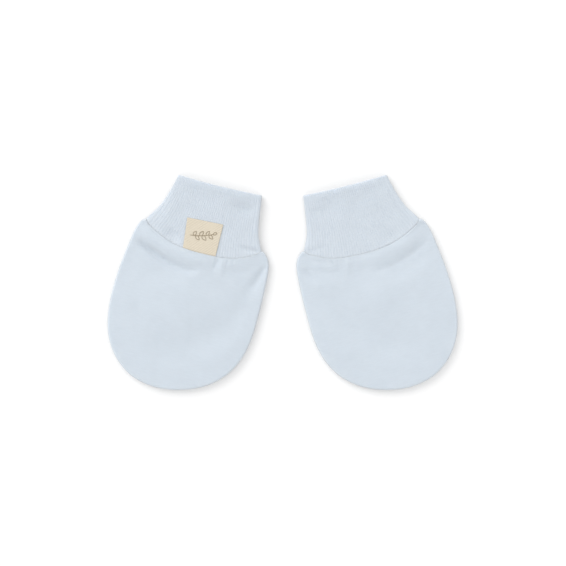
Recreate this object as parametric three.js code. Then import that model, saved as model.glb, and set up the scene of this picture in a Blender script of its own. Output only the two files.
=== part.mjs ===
// A pair of baby scratch mittens in pale blue cotton knit, laid flat side by side with the wrists up.
// Each mitten is a front and a back panel, joined round the edge, and a doubled rib cuff, which is one
// flattened tube with its fold at the wrist. A small woven label is caught in the left mitten's cuff seam.
// Millimetres, +Z up. The mittens lie on z = 0, the wrists point to +Y, and x = 0 is midway between them.
//
// A mitten has a frame of its own: "across" runs to the right, and "down" runs from the middle of the
// wrist edge to the fingertips. The right mitten is the mirror image of the left one.

import * as THREE from "three";

// Sizes of the whole pair
const LEAN = THREE.MathUtils.degToRad(14); // each wrist leans towards the other mitten
const WRIST_MIDDLE = { x: -32, y: 50.35 };

// Cloth
const BODY_CLOTH = 1.2; // one layer of interlock knit
const CUFF_CLOTH = 1.8; // two layers of fine rib, folded at the wrist
const LABEL_CLOTH = 1.0; // a woven ribbon, folded double
const SEAM_GAP = 0.3;

// The cuff, by the share of the way from the wrist edge (0) to the seam (1): how far its sides reach
const CUFF_SECTIONS = [
  { share: 0.0, left: 22.9, right: 22.1 },
  { share: 0.25, left: 24.5, right: 23.0 },
  { share: 0.5, left: 26.5, right: 23.9 },
  { share: 0.7, left: 28.7, right: 25.0 },
  { share: 0.85, left: 31.2, right: 26.7 },
  { share: 1.0, left: 33.7, right: 28.7 },
];
const CUFF_SIDE_RADIUS = 2.15; // the folded side of the flattened tube
const CUFF_CROWN = { wrist: 0.8, seam: 0.5 }; // how much higher the middle lies than the sides
const CUFF_END_ROUND = 0.4; // how far the cloth turns down into the seam
const WRIST_RISE = 0.6; // the wrist edge's ends stand that much above its middle
const RIBS = 46; // over the front of a cuff and round its two sides
const RIB_DEPTH = 0.22;
const UNDERSIDE_STEPS = 24;

// The seam between cuff and body: a bow that hangs towards the fingertips
const SEAM_LOWEST = 36.2;
const SEAM_BOW = {
  left: { rise: 9.7, power: 2 },
  right: { rise: 8.1, power: 3 },
};

// The body's outline, from the left end of the seam round the fingertips to its right end
const BODY_OUTLINE = [
  { across: -33.9, down: 26.2 },
  { across: -35.3, down: 26.7 },
  { across: -37.2, down: 30.0 },
  { across: -38.3, down: 34.4 },
  { across: -39.8, down: 44.0 },
  { across: -41.2, down: 56.0 },
  { across: -41.6, down: 70.0 },
  { across: -40.2, down: 82.0 },
  { across: -36.8, down: 91.5 },
  { across: -30.6, down: 100.0 },
  { across: -21.0, down: 106.7 },
  { across: -8.5, down: 109.4 },
  { across: 4.6, down: 107.8 },
  { across: 17.0, down: 102.8 },
  { across: 26.3, down: 94.8 },
  { across: 32.0, down: 84.8 },
  { across: 34.7, down: 73.0 },
  { across: 35.3, down: 59.0 },
  { across: 35.1, down: 43.0 },
  { across: 34.4, down: 35.0 },
  { across: 32.6, down: 30.5 },
  { across: 30.5, down: 28.3 },
  { across: 28.9, down: 27.9 },
];
const BODY_CENTRE = { across: -3, down: 66 };

// The body's form, seen from the side
const EDGE_RADIUS = 2.2; // the turned edge, across the cloth
const EDGE_HEIGHT = 1.8; // and up or down from the side seam
const SIDE_SEAM = EDGE_HEIGHT + SEAM_GAP / 2;
const BELLY = { height: 1.3, across: -3, down: 70, halfWidth: 43, halfLength: 45 };
const NECK_ROUND = 0.7; // and turns down into the seam by this much
const CORNER_BLEND = 3; // over this length a side edge turns into the neck edge
const MOST_SLANT = 0.5; // a ring's step inwards is lengthened by up to 1 / this on a slanting edge

// Rings of a panel, from its edge inwards: the turn of the edge, then shares of the way to the centre
const EDGE_TURNS = [0, 30, 60, 90].map(THREE.MathUtils.degToRad);
const FRONT = {
  sideSteps: 60,
  bunching: 0.65,
  neckSteps: 30,
  shares: [0.045, 0.095, 0.15, 0.21, 0.28, 0.37, 0.5, 0.66, 0.83],
};
const BACK = { sideSteps: 36, bunching: 0.2, neckSteps: 16, shares: [0.3] };

// Soft folds: ridges have a height over 0, troughs under it. A fold runs along its path of [across, down]
const BODY_FOLDS = [
  { name: "rise to the cuff", height: 0.45, width: 7, path: [[-30, 31], [-18, 36], [-3, 38], [26, 32]] },
  { name: "roll by the seam", height: 1.0, width: 2.7, path: [[-33, 31], [-24, 35.6], [-14, 38.8], [4, 40.2]] },
  { name: "its trough", height: -1.35, width: 2.3, path: [[-35, 36.8], [-27, 39.6], [-18, 42.5], [-10, 43.9]] },
  { name: "end of that trough", height: -0.8, width: 2.0, path: [[-9, 44.0], [-3, 42.8]] },
  { name: "pleat at the seam", height: 0.9, width: 1.4, path: [[9.2, 37], [9.6, 43]] },
  { name: "edge beside the pleat", height: -0.6, width: 1.1, path: [[6.8, 38.5], [5.8, 43]] },
  { name: "roll on the right", height: 0.5, width: 1.7, path: [[13, 38.2], [20, 36.2], [27, 31.6]] },
  { name: "trough under it", height: -0.4, width: 2.0, path: [[14, 41], [23, 39]] },
  { name: "trough by the shoulder", height: -0.9, width: 3.0, path: [[31, 34.5], [28.5, 41], [25, 51]] },
  { name: "its wide lower end", height: -0.9, width: 7.5, path: [[23, 56], [16, 66], [4, 74]] },
  { name: "swell on the left", height: 0.5, width: 9.0, path: [[-18, 53], [-9, 58]] },
];
const CUFF_FOLDS = [
  { name: "lip along the wrist edge", height: 0.25, width: 1.5, path: [[-18, 2.2], [16, 2.2]] },
  { name: "dent under the lip", height: -0.45, width: 2.0, path: [[9, 5.6], [16, 5.4]] },
  { name: "crease by the seam's right end", height: -0.45, width: 1.3, path: [[17, 25.2], [25.5, 27.3]] },
];

// The label, on the front of the left cuff, with its lower edge in the seam
const LABEL = { leftTop: -12.7, leftBottom: -11.2, right: 6.2, topLeft: 20.3, topRight: 19.5 };
const LABEL_GRID = { columns: 7, rows: 6 };

const { lerp, clamp } = THREE.MathUtils;

// Value of one column at a place, on a smooth curve through the rows of a table
function tableValue(rows, key, column, at) {
  const last = rows.length - 1;
  let i = rows.findIndex((row) => row[key] >= at);
  i = clamp(i < 0 ? last : i, 1, last) - 1;
  const slope = (k) => {
    const [a, b] = [rows[Math.max(k - 1, 0)], rows[Math.min(k + 1, last)]];
    return (b[column] - a[column]) / (b[key] - a[key]);
  };
  const span = rows[i + 1][key] - rows[i][key];
  const t = clamp((at - rows[i][key]) / span, 0, 1);
  const t2 = t * t;
  const t3 = t2 * t;
  return (
    rows[i][column] * (2 * t3 - 3 * t2 + 1) +
    slope(i) * span * (t3 - 2 * t2 + t) +
    rows[i + 1][column] * (3 * t2 - 2 * t3) +
    slope(i + 1) * span * (t3 - t2)
  );
}

// Height that the folds add at a place
function foldHeight(folds, across, down) {
  const nearest = new THREE.Vector3();
  const place = new THREE.Vector3(across, down, 0);
  let sum = 0;
  for (const { height, width, path } of folds) {
    let distance = Infinity;
    for (let i = 1; i < path.length; i++) {
      const run = new THREE.Line3(new THREE.Vector3(...path[i - 1], 0), new THREE.Vector3(...path[i], 0));
      distance = Math.min(distance, run.closestPointToPoint(place, true, nearest).distanceTo(place));
    }
    sum += height * Math.exp(-((distance / width) ** 2));
  }
  return sum;
}

// The seam's place, by its share across: -1 at its left end, 1 at its right end
function seamDown(share) {
  const { rise, power } = share < 0 ? SEAM_BOW.left : SEAM_BOW.right;
  return SEAM_LOWEST - rise * Math.abs(share) ** power;
}

// A mitten's frame to its group's: down is -y
const point = (across, down, z) => new THREE.Vector3(across, -down, z);

// A closed solid through loops of equally many points. It closes on itself, or on a point at each end.
function loft(loops, ends = null) {
  const count = loops[0].length;
  const points = loops.flat();
  const faces = [];
  const ring = (k) => (k % loops.length) * count;
  const lastJoin = ends ? loops.length - 1 : loops.length;
  for (let k = 0; k < lastJoin; k++) {
    for (let i = 0; i < count; i++) {
      const j = (i + 1) % count;
      const [a, b, c, d] = [ring(k) + i, ring(k) + j, ring(k + 1) + j, ring(k + 1) + i];
      faces.push(a, b, c, a, c, d);
    }
  }
  if (ends) {
    const first = points.push(ends[0]) - 1;
    const last = points.push(ends[1]) - 1;
    for (let i = 0; i < count; i++) {
      const j = (i + 1) % count;
      faces.push(first, j, i, last, ring(loops.length - 1) + i, ring(loops.length - 1) + j);
    }
  }
  let volume = 0;
  for (let f = 0; f < faces.length; f += 3) {
    const [a, b, c] = [points[faces[f]], points[faces[f + 1]], points[faces[f + 2]]];
    volume += a.dot(b.clone().cross(c));
  }
  if (volume < 0) faces.reverse(); // faces point out
  const geometry = new THREE.BufferGeometry().setFromPoints(points);
  geometry.setIndex(faces);
  geometry.computeVertexNormals();
  return geometry;
}

// Body panels

// Points round a panel, each with its inward step and how far it belongs to the neck (0 to 1)
function panelOutline({ sideSteps, bunching, neckSteps }) {
  const curve = new THREE.CatmullRomCurve3(
    BODY_OUTLINE.map(({ across, down }) => new THREE.Vector3(across, down, 0)),
    false,
    "centripetal",
  );
  curve.arcLengthDivisions = 600;
  const length = curve.getLength();
  const [start, end] = [BODY_OUTLINE[0], BODY_OUTLINE[BODY_OUTLINE.length - 1]];
  const neckStep = (end.across - start.across) / neckSteps;
  const outline = [];
  for (let i = 0; i <= sideSteps; i++) {
    const step = i / sideSteps;
    const run = step - (bunching * Math.sin(2 * Math.PI * step)) / (2 * Math.PI); // closer near the corners
    const { x, y } = curve.getPointAt(run);
    const toCorner = Math.min(run, 1 - run) * length;
    outline.push({ across: x, down: y, neck: 0.5 * Math.max(0, 1 - toCorner / CORNER_BLEND) });
  }
  for (let i = 1; i < neckSteps; i++) {
    const share = 1 - (2 * i) / neckSteps;
    const toCorner = Math.min(i, neckSteps - i) * neckStep;
    outline.push({
      across: lerp(end.across, start.across, i / neckSteps),
      down: seamDown(share) + SEAM_GAP / 2,
      neck: Math.min(1, 0.5 + (0.5 * toCorner) / CORNER_BLEND),
    });
  }
  return outline.map((p, i) => {
    const [before, after] = [outline.at(i - 1), outline[(i + 1) % outline.length]];
    const along = new THREE.Vector2(after.across - before.across, after.down - before.down).normalize();
    const inward = new THREE.Vector2(BODY_CENTRE.across - p.across, BODY_CENTRE.down - p.down);
    const reach = inward.length();
    inward.normalize();
    return { ...p, inward, reach, slant: Math.max(MOST_SLANT, Math.abs(along.cross(inward))) };
  });
}

// A place on a panel's plan: inset from the edge, then a share of the way to the centre
function planPlace(p, inset, share) {
  const step = inset / p.slant;
  const run = step + (p.reach - step) * share;
  return { across: p.across + p.inward.x * run, down: p.down + p.inward.y * run };
}

// Top of the front panel. Lift is 0 where the edge meets the side seam and 1 where its turn ends
function frontTop(neck, { across, down }, lift) {
  const sideways = (across - BELLY.across) / BELLY.halfWidth;
  const lengthways = (down - BELLY.down) / BELLY.halfLength;
  const belly = BELLY.height * Math.max(0, 1 - sideways ** 2 - lengthways ** 2) ** 1.5;
  const form = (belly + foldHeight(BODY_FOLDS, across, down)) * lift;
  const drop = lerp(EDGE_HEIGHT, NECK_ROUND, neck) * (1 - lift);
  return SIDE_SEAM + EDGE_HEIGHT + form - drop;
}

// Both faces of a panel at one place of its edge's turn
function edgePair(p, turn, isFront) {
  const inset = EDGE_RADIUS * (1 - Math.cos(turn));
  const lift = Math.sin(turn);
  // the wall's thickness lies across at a side seam, and upright at the neck
  const sideways = BODY_CLOTH * Math.cos(turn) * (1 - p.neck);
  const upright = BODY_CLOTH * lerp(lift, 1, p.neck) * (isFront ? -1 : 1);
  const outer = planPlace(p, inset, 0);
  const inner = planPlace(p, inset + sideways, 0);
  const flat = EDGE_HEIGHT - SEAM_GAP / 2;
  const z = isFront ? frontTop(p.neck, outer, lift) : flat * (1 - lift) * (1 - p.neck);
  return [point(outer.across, outer.down, z), point(inner.across, inner.down, z + upright)];
}

function panelGeometry(build, isFront) {
  const outline = panelOutline(build);
  const wall = isFront ? -BODY_CLOTH : BODY_CLOTH;
  const outer = [];
  const inner = [];
  for (const turn of EDGE_TURNS) {
    const pairs = outline.map((p) => edgePair(p, turn, isFront));
    outer.push(pairs.map((pair) => pair[0]));
    inner.push(pairs.map((pair) => pair[1]));
  }
  for (const share of build.shares) {
    const surface = outline.map((p) => {
      const place = planPlace(p, EDGE_RADIUS, share);
      return point(place.across, place.down, isFront ? frontTop(p.neck, place, 1) : 0);
    });
    outer.push(surface);
    inner.push(surface.map((q) => q.clone().setZ(q.z + wall)));
  }
  const middle = isFront ? frontTop(0, BODY_CENTRE, 1) : 0;
  const ends = [middle, middle + wall].map((z) => point(BODY_CENTRE.across, BODY_CENTRE.down, z));
  return loft([...outer.reverse(), ...inner], ends);
}

// Cuff

// Half width and middle of the cuff at a share of its length
function cuffSpan(share) {
  const left = tableValue(CUFF_SECTIONS, "share", "left", share);
  const right = tableValue(CUFF_SECTIONS, "share", "right", share);
  return { half: (left + right) / 2, middle: (right - left) / 2 };
}

// Height of the cuff's front above a flattened tube's, at a place
function cuffSwell(share, side, across, down) {
  const crown = lerp(CUFF_CROWN.wrist, CUFF_CROWN.seam, share) * (1 - side ** 2);
  return crown + foldHeight(CUFF_FOLDS, across, down);
}

// A place on the cuff: share of its length, share round its front or underside, depth under its surface
function cuffPoint(share, round, isFront, depth, fromWrist = 0) {
  const { half, middle } = cuffSpan(share);
  const radius = CUFF_SIDE_RADIUS;
  const flat = half - radius;
  const quarter = (Math.PI / 2) * radius;
  const length = 2 * (quarter + flat);
  const run = round * length;
  // how far the place lies along the flat, and the turn of the cloth at it
  const along = clamp(run - quarter, 0, 2 * flat) - flat;
  const turn = Math.PI - Math.min(run, quarter) / radius - Math.max(0, run - quarter - 2 * flat) / radius;
  const reach = radius - depth;
  const x = along + reach * Math.cos(turn);
  const lift = Math.sin(turn);
  const side = x / half;
  const top = fromWrist - WRIST_RISE * side ** 2;
  const bottom = seamDown(side) - SEAM_GAP / 2;
  const down = lerp(top, bottom, share);
  const across = middle + x;
  const swell = isFront ? cuffSwell(share, side, across, down) * lift : 0;
  return point(across, down, radius + swell + (isFront ? 1 : -1) * reach * lift);
}

// One loop round the cuff: its ribbed or plain front and sides, then the underside
function cuffLoop({ share, depth, fromWrist = 0, ribbed }) {
  const loop = [];
  const steps = 2 * RIBS;
  for (let i = 0; i <= steps; i++) {
    const groove = ribbed && i % 2 ? RIB_DEPTH : 0;
    loop.push(cuffPoint(share, i / steps, true, depth + groove, fromWrist));
  }
  for (let i = 1; i < UNDERSIDE_STEPS; i++) {
    loop.push(cuffPoint(share, 1 - i / UNDERSIDE_STEPS, false, depth, fromWrist));
  }
  return loop;
}

function cuffGeometry() {
  const fold = CUFF_CLOTH / 2; // the wrist edge is rounded over half the wall
  const nearEdge = fold * (1 - Math.SQRT1_2);
  const outside = [
    { share: 0, depth: fold, ribbed: true },
    { share: 0, depth: nearEdge, fromWrist: nearEdge, ribbed: true },
    { share: 0, depth: 0, fromWrist: fold, ribbed: true },
    ...[0.25, 0.5, 0.7, 0.85, 0.96].map((share) => ({ share, depth: 0, ribbed: true })),
    { share: 1, depth: CUFF_END_ROUND, ribbed: true },
  ];
  const inside = [
    { share: 1, depth: CUFF_CLOTH },
    { share: 0.5, depth: CUFF_CLOTH },
    { share: 0, depth: CUFF_CLOTH, fromWrist: fold },
    { share: 0, depth: CUFF_CLOTH - nearEdge, fromWrist: nearEdge },
  ];
  return loft([...outside, ...inside].map(cuffLoop));
}

// Label

// Top of the cuff's front at a place, found by stepping its share of the length closer
function cuffTop(across, down) {
  let share = down / SEAM_LOWEST;
  let side = 0;
  for (let step = 0; step < 6; step++) {
    const { half, middle } = cuffSpan(share);
    side = (across - middle) / half;
    share = clamp(down / seamDown(side), 0, 1);
  }
  return 2 * CUFF_SIDE_RADIUS + cuffSwell(share, side, across, down);
}

function labelGeometry() {
  const { half, middle } = cuffSpan(1);
  const loops = [];
  for (let i = 0; i <= LABEL_GRID.columns; i++) {
    const column = i / LABEL_GRID.columns;
    const under = [];
    for (let k = 0; k <= LABEL_GRID.rows; k++) {
      const row = k / LABEL_GRID.rows;
      const across = lerp(lerp(LABEL.leftTop, LABEL.leftBottom, row), LABEL.right, column);
      const seam = seamDown((across - middle) / half) - 2 * SEAM_GAP;
      const down = lerp(lerp(LABEL.topLeft, LABEL.topRight, column), seam, row);
      under.push(point(across, down, cuffTop(across, down) + SEAM_GAP));
    }
    const over = under.map((q) => q.clone().setZ(q.z + LABEL_CLOTH)).reverse();
    loops.push([...under, ...over]);
  }
  const centreOf = (loop) => loop.reduce((sum, q) => sum.add(q), new THREE.Vector3()).divideScalar(loop.length);
  return loft(loops, [centreOf(loops[0]), centreOf(loops[loops.length - 1])]);
}

// Materials
const knitBlue = new THREE.MeshStandardMaterial({ color: 0xd2dce5, roughness: 0.95, metalness: 0 });
const ribBlue = new THREE.MeshStandardMaterial({ color: 0xd3dce5, roughness: 0.95, metalness: 0 });
const labelBeige = new THREE.MeshStandardMaterial({ color: 0xe4d9c2, roughness: 0.9, metalness: 0 });

function named(name, geometry, material) {
  const mesh = new THREE.Mesh(geometry, material);
  mesh.name = name;
  return mesh;
}

// One mitten in its own frame, turned and put in its place of the pair
function mitten(name, hasLabel) {
  const group = new THREE.Group();
  group.add(
    named(`${name}_front_panel`, panelGeometry(FRONT, true), knitBlue),
    named(`${name}_back_panel`, panelGeometry(BACK, false), knitBlue),
    named(`${name}_cuff`, cuffGeometry(), ribBlue),
  );
  if (hasLabel) group.add(named(`${name}_label`, labelGeometry(), labelBeige));
  group.rotation.z = -LEAN;
  group.position.set(WRIST_MIDDLE.x, WRIST_MIDDLE.y, 0);
  return group;
}

const mirrored = new THREE.Group();
mirrored.scale.x = -1;
mirrored.add(mitten("right", false));

const pair = new THREE.Group();
pair.add(mitten("left", true), mirrored);

export default pair;
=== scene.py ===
"""A pair of baby scratch mittens in pale blue cotton knit, laid flat on a white floor.

Each mitten has a front and a back panel of interlock knit, and a cuff of fine rib folded double at the
wrist. A woven label is caught in the left cuff's seam. Every piece is worked out in a mitten's own frame:
"across" runs to the right and "down" runs from the middle of the wrist edge to the fingertips.
Lengths are in metres. The right mitten is the mirror image of the left one.
"""

import math

import bmesh
import bpy
import numpy as np
from bpy.props import FloatProperty, FloatVectorProperty, IntProperty, PointerProperty
from bpy.types import Operator, Panel, PropertyGroup
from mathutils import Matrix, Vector


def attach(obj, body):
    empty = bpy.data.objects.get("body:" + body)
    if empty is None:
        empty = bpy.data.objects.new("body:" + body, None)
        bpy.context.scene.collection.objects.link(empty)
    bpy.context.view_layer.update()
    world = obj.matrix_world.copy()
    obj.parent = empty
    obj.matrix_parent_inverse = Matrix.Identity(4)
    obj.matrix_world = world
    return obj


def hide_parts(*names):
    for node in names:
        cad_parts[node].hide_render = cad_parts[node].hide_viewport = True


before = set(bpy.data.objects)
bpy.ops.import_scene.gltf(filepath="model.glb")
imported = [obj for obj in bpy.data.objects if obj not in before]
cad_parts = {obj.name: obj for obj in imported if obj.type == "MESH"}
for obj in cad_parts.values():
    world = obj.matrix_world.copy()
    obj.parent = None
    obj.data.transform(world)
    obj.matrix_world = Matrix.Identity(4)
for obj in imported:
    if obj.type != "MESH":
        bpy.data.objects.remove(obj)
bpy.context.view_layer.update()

bl_info = {
    "name": "Baby scratch mittens",
    "version": (1, 0, 0),
    "blender": (4, 5, 0),
    "location": "3D View > Sidebar > Mittens",
    "description": "Builds a pair of knitted baby mittens around the packed part",
    "category": "Object",
}

MM = 0.001

# Where a mitten lies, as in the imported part
LEAN = math.radians(14)
WRIST_MIDDLE = (-32 * MM, 50.35 * MM)

# The cuff's sides, by the share of the way from the wrist edge to the seam
CUFF_SECTIONS = (
    # share, left, right
    (0.0, -22.9, 22.1),
    (0.25, -24.5, 23.0),
    (0.5, -26.5, 23.9),
    (0.7, -28.7, 25.0),
    (0.85, -31.2, 26.7),
    (1.0, -33.7, 28.7),
)
CUFF_SIDE_RADIUS = 2.15 * MM
PRESSED = 0.6  # the power that squares the tube's round sides, 1 being round
RIB_PITCH = 1.2 * MM
RIB_COURSE = 0.7 * MM
CUFF_CROWN = (0.8 * MM, 0.5 * MM)  # at the wrist and at the seam
WRIST_RISE = 0.6 * MM

# The seam between cuff and body is a bow: how far its ends rise, and how sharply
SEAM_LOWEST = 36.2 * MM
SEAM_LEFT = (9.7 * MM, 2.3)
SEAM_RIGHT = (8.1 * MM, 3.0)
SEAM_SLIT = 0.012 * MM
SEAM_MIDDLE = -2.5 * MM
SEAM_HALF = 31.2 * MM
NECK_TURN = 2 * MM
SHALLOW_SEAM = {"depth": 0.35, "from": -15 * MM, "over": 5 * MM}

# The body's outline from the left end of the seam round the fingertips to its right end
BODY_OUTLINE = (
    # across, down
    (-33.75, 25.65),
    (-35.1, 26.3),
    (-36.4, 28.2),
    (-37.3, 30.6),
    (-38.3, 34.4),
    (-39.8, 44.0),
    (-41.2, 56.0),
    (-41.6, 70.0),
    (-40.2, 82.0),
    (-36.8, 91.5),
    (-30.6, 100.0),
    (-21.0, 106.7),
    (-8.5, 109.4),
    (4.6, 107.8),
    (17.0, 102.8),
    (26.3, 94.8),
    (32.0, 84.8),
    (34.7, 73.0),
    (35.3, 59.0),
    (35.1, 43.0),
    (34.4, 35.0),
    (33.2, 31.3),
    (31.6, 29.2),
    (30.2, 27.9),
    (29.0, 27.5),
)
BODY_CENTRE = (-3 * MM, 66 * MM)
OUTLINE_STEPS = 900
SIDE_POINTS = 0.72  # the share of a ring's points on the sides, the others being on the neck
END_BUNCHING = 0.35
PANEL_GAP = 0.03 * MM  # from the seam's plane to each panel
EDGE_RADIUS = 1.1 * MM
NECK_RADIUS = 0.9 * MM
NECK_ROLL = 0.36 * MM
NECK_DEPTH = 1.9 * MM
SEAM_PLANE = 1.8 * MM
END_ROUND = 0.26 * MM
CORNER_BLEND = 3 * MM
MOST_SLANT = 0.5
SIDE_DITCH = 0.3 * MM
# Gathers at the seam, strongest beside the label
PUCKER = {"pitch": 2.2 * MM, "seed": 5, "middle": 14 * MM, "spread": 6 * MM, "fade": 3.2 * MM}
LEVEL_BLEND = 1.7 * MM  # how far the body keeps the cuff's height below the seam
LABEL_BULGE = {"height": 0.4 * MM, "reach": 9.6 * MM, "blend": 1.2 * MM}
BELLY = {"height": 1.3, "across": -3, "down": 70, "half_width": 43, "half_length": 45}

# Soft folds in millimetres. Each runs through stations of (across, down, height, width)
BODY_FOLDS = {
    "rise to the cuff": (
        (-30, 31, 0.75, 6), (-18, 36, 0.75, 6), (-3, 38, 0.75, 6), (26, 32, 0.75, 6),
    ),
    "roll by the seam": (
        (-34.0, 30.0, 0.59, 2.2), (-28, 34.2, 0.79, 2.3), (-20, 37.6, 0.79, 2.6), (-10, 39.6, 0.66, 2.9),
        (-2, 40.0, 0.53, 2.9), (4, 39.6, 0.46, 2.4),
    ),
    "its trough": (
        (-34.6, 37.6, -0.5, 1.9), (-32, 39.0, -1.4, 1.9), (-27, 41.0, -2.45, 2.0), (-20, 43.9, -2.3, 2.2),
        (-12, 45.8, -1.7, 2.2), (-5, 46.1, -1.1, 2.1), (-1, 44.9, -0.45, 1.9),
    ),
    "its trough's long lower side": (
        (-22, 48.0, -0.25, 4.0), (-12, 50.3, -0.55, 4.0), (-4, 50.5, -0.55, 4.0)
    ),
    "pleat at the seam": ((10.2, 36.6, 0.4, 1.3), (10.6, 40.0, 0.59, 1.6), (11.2, 45.5, 0.26, 2.2)),
    "edge beside the pleat": ((7.9, 36.6, -0.25, 1.0), (7.2, 40.5, -0.4, 1.2), (6.2, 44.5, -0.15, 1.6)),
    "roll on the right": (
        (13.4, 38.6, 0.3, 1.5), (17, 37.6, 0.2, 1.6), (22, 35.6, 0.15, 1.6), (27.5, 32.2, 0.1, 1.6),
    ),
    "trough under it": ((14, 42.0, -0.05, 1.8), (19.5, 41.4, -0.22, 1.8), (25, 38.6, -0.1, 1.8)),
    "trough by the shoulder": (
        (32.0, 35.0, -0.6, 1.6), (30.8, 40.2, -1.1, 2.0), (29.0, 45.8, -1.1, 2.7), (26.2, 51.3, -0.8, 4.0),
    ),
    "wide dip": (
        (25.5, 53, -0.5, 5.5), (23.5, 64, -0.9, 7.0), (17.5, 73, -1.05, 8.0), (9, 80.5, -1.3, 8.5),
        (-1, 86, -1.3, 9.0), (-11, 88, -0.7, 9.0),
    ),
    "swell on the left": ((-15, 53, 0.92, 8.5), (-5, 59, 0.99, 9.0), (4, 62, 0.59, 8.0)),
    "swell by the right edge": ((31, 60, 0.25, 4.0), (26, 77, 0.4, 5.5), (15, 89, 0.4, 6.5)),
}
# The right mitten lies the other way to the light, and most of its folds are different
RIGHT_BODY_FOLDS = {
    "rise to the cuff": BODY_FOLDS["rise to the cuff"],
    "roll by the seam": (
        (-34.0, 30.0, 0.2, 2.2), (-28, 34.2, 0.25, 2.3), (-20, 37.6, 0.25, 2.6), (-10, 39.6, 0.2, 2.9),
        (-2, 40.0, 0.2, 2.9), (4, 39.6, 0.15, 2.4),
    ),
    "its trough": (
        (-34.6, 37.8, -0.2, 1.9), (-32, 39.2, -0.45, 2.0), (-27, 41.4, -0.7, 2.2), (-20, 44.2, -0.65, 2.3),
        (-12, 46.0, -0.5, 2.3), (-5, 46.3, -0.35, 2.2),
    ),
    "its trough's long lower side": (
        (-33, 43.5, -0.5, 4.0), (-26, 46.5, -0.75, 4.4), (-18, 49.0, -0.75, 4.6), (-8, 50.5, -0.45, 4.6),
    ),
    "pleat at the seam": ((7.8, 36.8, 0.35, 1.7), (8.3, 40.5, 0.6, 2.2), (9.3, 46, 0.35, 2.8)),
    "edge beside the pleat": ((13.0, 37.0, -0.1, 2.0), (14.0, 40.5, -0.1, 2.4), (15.0, 45.5, -0.1, 2.6)),
    "trough by the shoulder": ((30.8, 36.8, -0.5, 1.8), (28.6, 39.6, -0.85, 2.2), (26, 45.5, -0.6, 3.0)),
    "swell by the shoulder": ((28, 42, 0.3, 4.0), (21, 45, 0.6, 5.0), (13, 48, 0.5, 5.0)),
    "roll on the right": ((15.5, 39.6, 0.5, 1.8), (20, 38.4, 0.5, 1.8), (25, 36.0, 0.4, 1.8)),
    "wide dip": (
        (25, 52, -0.9, 5.5), (18, 63, -1.2, 7.0), (10, 75, -1.8, 8.5),
        (0, 85, -2.1, 9.5), (-12, 91, -1.2, 9.0),
    ),
    "swell on the left": ((-15, 54, 1.2, 8.5), (-6, 58, 1.3, 9.0), (4, 60, 0.7, 8.0)),
    "swell by the right edge": BODY_FOLDS["swell by the right edge"],
}
CUFF_FOLDS = {
    "lip along the wrist edge": ((-18, 2.2, 0.25, 1.5), (16, 2.2, 0.25, 1.5)),
    "dent under the lip": ((8, 7.4, -0.4, 2.3), (13.5, 8.4, -1.25, 2.7), (19, 8.1, -0.7, 2.4)),
    "long side of the dent": ((9, 12.5, -0.4, 4.0), (18, 12.5, -0.4, 4.0)),
    "shallow dip by the wrist": ((-13, 8.6, -0.4, 3.2), (-2, 9.4, -0.4, 3.2)),
    "swell along the left side": ((-20, 6, 0.3, 3.0), (-22.5, 18, 0.4, 3.2), (-26, 26, 0.3, 3.0)),
    "dip by the seam's left end": ((-22, 29.6, -1.1, 2.8), (-15, 32.3, -1.3, 2.8)),
    "crease by the seam's right end": (
        (17.5, 28.1, -0.3, 1.2), (22.5, 28.3, -0.85, 1.2), (27.6, 28.2, -0.9, 1.2),
    ),
}
RIGHT_CUFF_FOLDS = {
    **CUFF_FOLDS,
    "dent under the lip": ((8, 8.4, -0.2, 2.7), (13.5, 9.4, -0.7, 3.1), (19, 9.0, -0.4, 2.8)),
    "dip by the seam's left end": ((-22, 29.6, -0.7, 3.2), (-15, 32.3, -0.6, 3.2)),
    "crease by the seam's right end": (
        (17.5, 28.1, -0.2, 1.4), (22.5, 28.3, -0.4, 1.5), (27.6, 28.2, -0.4, 1.5),
    ),
    "long side of the dent": ((9, 14, -0.3, 4.5), (18, 14, -0.3, 4.5)),
}

# A generic sprig in millimetres from its middle: a stem, and leaves from base to tip
SPRIG_STEM = ((-6.6, -1.3), (-3.6, -0.9), (0, -0.2), (3.4, 0.8), (5.2, 1.5))
SPRIG_ROW = 0.44  # the share of the label's length at the sprig's middle
SPRIG_SCALE = 15.4 * MM
SPRIG_LEAVES = (
    # base across, base up, tip across, tip up
    (-4.6, -1.0, -3.4, 1.3),
    (-3.4, -0.9, -1.2, -2.6),
    (-1.4, -0.5, 0.2, 2.0),
    (-0.2, -0.2, 2.3, -2.0),
    (1.9, 0.3, 3.0, 2.7),
    (3.2, 0.7, 5.6, -0.7),
    (5.2, 1.5, 7.0, 2.6),
)

# The label's corners in millimetres, on the left cuff
LABEL = {"left_top": -12.7, "left_bottom": -11.2, "right": 6.2, "top_left": 20.3, "top_right": 19.5}
LABEL_MIDDLE = -2.5 * MM
LABEL_HEIGHT = 0.21 * MM  # of the front layer above the cuff
LABEL_LOW = 0.07 * MM  # of the back layer
LABEL_CURL = 0.06 * MM
LABEL_TUCK = 0.932  # the share of its length where it starts to turn into the seam
TAPE_WIDTH = 18 * MM
TAPE_LENGTH = 34 * MM
TAPE_FOLD = 0.035

# Cloth shades, as shares of the yarn's colour: painted shade in the weave's gaps, tones that change at
# random, and painted shade on upright edges
GAP_PAINTED_SHADE = 0.8
LIGHT_SHADE = 1.07
DARK_SHADE = 0.93
RIM_PAINTED_SHADES = (0.92, 0.88, 0.84)  # red, green and blue of the painted shade on upright edges beside the seam

# Where the large light shines to, and how soft it is
KEY_DIRECTION = (0.66, -0.7, -0.58)
KEY_ANGLE = math.radians(45)


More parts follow.
